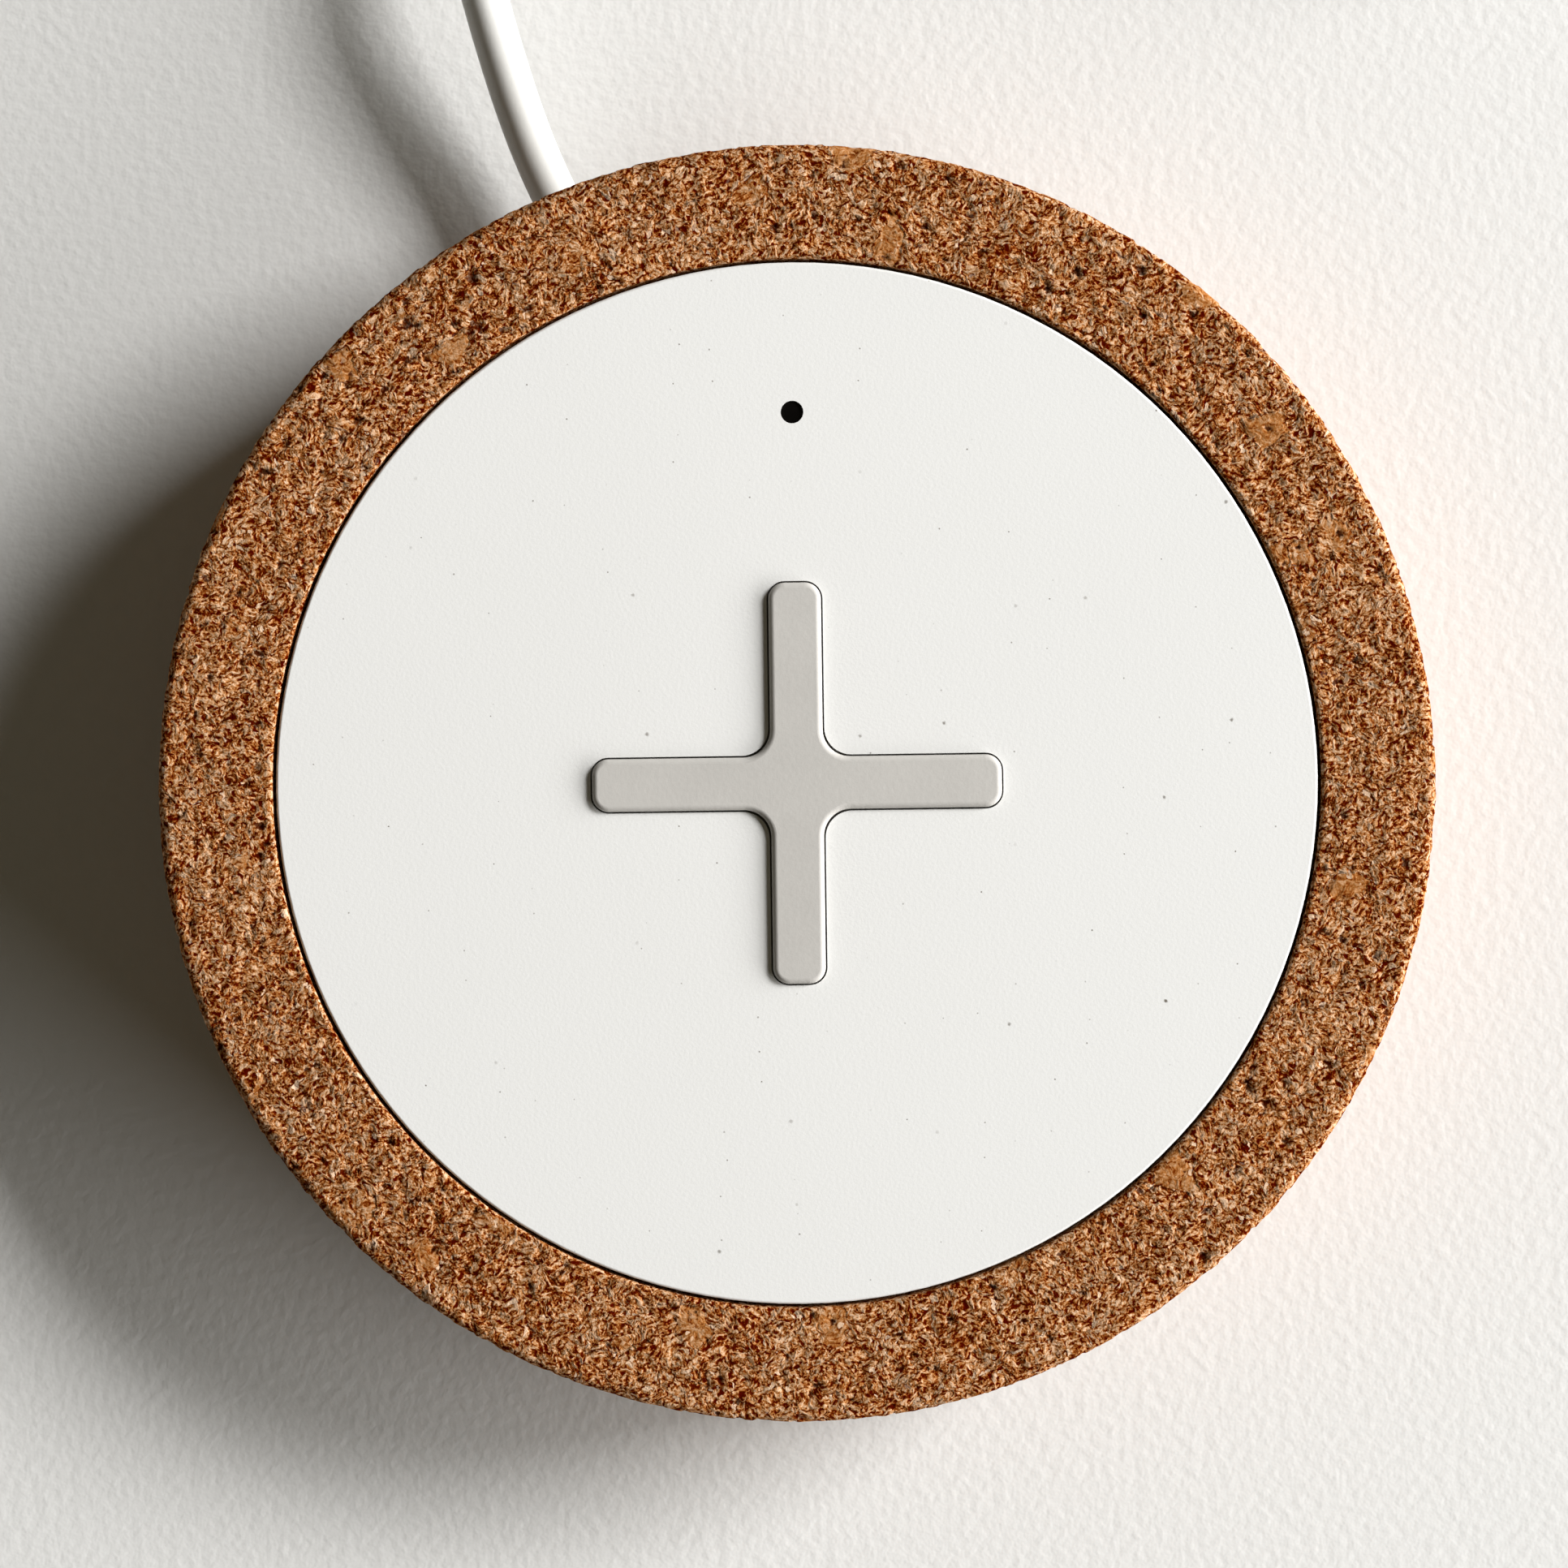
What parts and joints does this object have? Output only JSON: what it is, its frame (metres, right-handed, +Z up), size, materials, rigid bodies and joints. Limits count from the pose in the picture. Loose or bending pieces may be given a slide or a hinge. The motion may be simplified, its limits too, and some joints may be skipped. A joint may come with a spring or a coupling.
{
  "type": "wireless charging pad",
  "caption": "Round wireless charging pad: cork ring, matt white disc, raised rubber plus, indicator window and a fixed USB lead.",
  "frame": {"origin": "centre of the underside of the pad, on the surface that its feet stand on", "axes": "+Z up through the white disc, +Y from the centre towards the indicator light, +X to the right of it seen from above"},
  "size_m": [0.1092, 0.1745, 0.016],
  "materials": {
    "cork": "matte",
    "casing_plastic": "matte",
    "disc_plastic": "matte",
    "grip_rubber": "matte",
    "foot_rubber": "matte",
    "screw_steel": "satin",
    "window_plastic": "gloss",
    "led_resin": "satin",
    "board_laminate": "satin",
    "chip_resin": "matte",
    "capacitor_ceramic": "satin",
    "stranded_copper": "satin",
    "ferrite": "matte",
    "foam_tape": "matte",
    "sensor_resin": "satin",
    "core_insulation": "satin",
    "cord_jacket": "satin",
    "tie_strap": "matte",
    "plug_grip": "satin",
    "plug_steel": "satin",
    "tongue_plastic": "satin",
    "contact_gilt": "polished"
  },
  "bodies": {
    "root": {"cork_ring": "cork", "bottom_cover": "casing_plastic", "top_cover": "disc_plastic", "grip_cross": "grip_rubber", "rubber_feet": "foot_rubber", "housing_screws": "screw_steel", "light_pipe": "window_plastic", "status_led": "led_resin", "circuit_board": "board_laminate", "board_screws": "screw_steel", "controller_chip": "chip_resin", "bridge_transistors": "chip_resin", "power_inductor": "ferrite", "resonant_capacitors": "capacitor_ceramic", "filter_capacitors": "capacitor_ceramic", "chip_resistors": "chip_resin", "coil_winding": "stranded_copper", "coil_leads": "stranded_copper", "ferrite_plate": "ferrite", "coil_tray": "casing_plastic", "coil_adhesive": "foam_tape", "thermistor": "sensor_resin", "cord_bush": "cord_jacket", "supply_wires": "core_insulation", "cord": "cord_jacket", "cord_coil": "cord_jacket", "cord_tail": "cord_jacket", "cord_tie": "tie_strap", "plug_body": "plug_grip", "plug_shell": "plug_steel", "plug_tongue": "tongue_plastic", "plug_contacts": "contact_gilt"}
  },
  "joints": []
}
